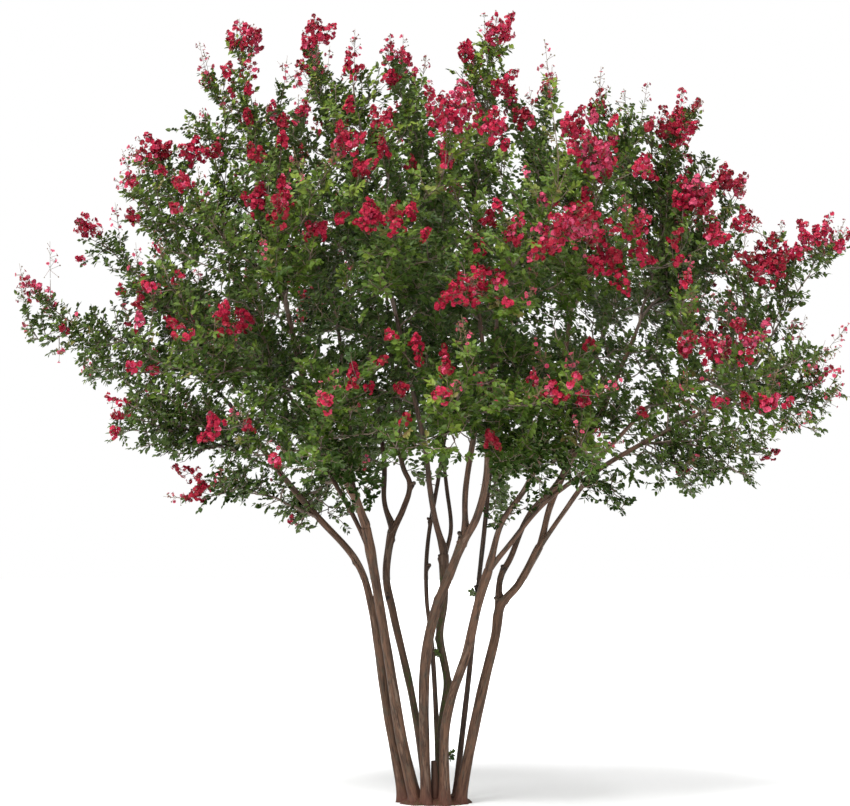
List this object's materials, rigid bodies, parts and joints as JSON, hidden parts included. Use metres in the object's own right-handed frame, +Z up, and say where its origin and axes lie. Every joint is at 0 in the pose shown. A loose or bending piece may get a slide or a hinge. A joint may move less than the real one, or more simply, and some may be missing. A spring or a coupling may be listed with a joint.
{
  "type": "crape myrtle tree",
  "caption": "Multi-stemmed crape myrtle: slender smooth stems rise from one root crown, fork and spread into a broad vase-shaped crown with upright red panicles.",
  "frame": {"origin": "centre of the clump on the flat cut at ground level", "axes": "+Z up, +X to the right and +Y to the back of the tree's best side"},
  "size_m": [5.8836, 4.9251, 5.5303],
  "materials": {
    "bark": "smooth bark in thin flakes, light tan to grey-brown",
    "leaf": "satin leaf green",
    "blossom": "matt crimson petals"
  },
  "bodies": {
    "root": {"root_crown": "bark", "left_back_stem": "bark", "left_front_stem": "bark", "back_left_stem": "bark", "centre_stem": "bark", "thin_stem": "bark", "mossy_stem": "bark", "right_front_stem": "bark", "right_stem": "bark", "back_right_stem": "bark", "left_front_bough": "bark", "left_thin_bough": "bark", "left_inner_bough": "bark", "back_left_bough": "bark", "crooked_bough": "bark", "centre_bough": "bark", "front_bough": "bark", "centre_left_bough": "bark", "back_centre_bough": "bark", "right_front_bough": "bark", "right_low_bough": "bark", "right_inner_bough": "bark", "right_upper_bough": "bark", "right_outer_bough": "bark", "top_left_foliage": "leaf", "top_left_back_foliage": "leaf", "top_left_inner_foliage": "leaf", "top_centre_left_foliage": "leaf", "top_centre_foliage": "leaf", "top_peak_foliage": "leaf", "top_right_spire_foliage": "leaf", "top_right_foliage": "leaf", "right_top_foliage": "leaf", "left_shoulder_foliage": "leaf", "right_shoulder_foliage": "leaf", "left_upper_foliage": "leaf", "far_left_foliage": "leaf", "far_right_foliage": "leaf", "right_middle_foliage": "leaf", "front_upper_left_foliage": "leaf", "front_upper_centre_left_foliage": "leaf", "front_upper_centre_right_foliage": "leaf", "front_upper_right_foliage": "leaf", "front_right_foliage": "leaf", "front_low_right_foliage": "leaf", "front_low_centre_foliage": "leaf", "front_low_left_foliage": "leaf", "front_left_foliage": "leaf", "back_left_foliage": "leaf", "back_centre_left_foliage": "leaf", "back_centre_foliage": "leaf", "back_centre_right_foliage": "leaf", "back_right_foliage": "leaf", "low_left_foliage": "leaf", "low_left_hanging_foliage": "leaf", "small_left_hanging_foliage": "leaf", "low_right_foliage": "leaf", "low_right_hanging_foliage": "leaf", "low_back_left_foliage": "leaf", "low_back_right_foliage": "leaf"}
  },
  "joints": []
}
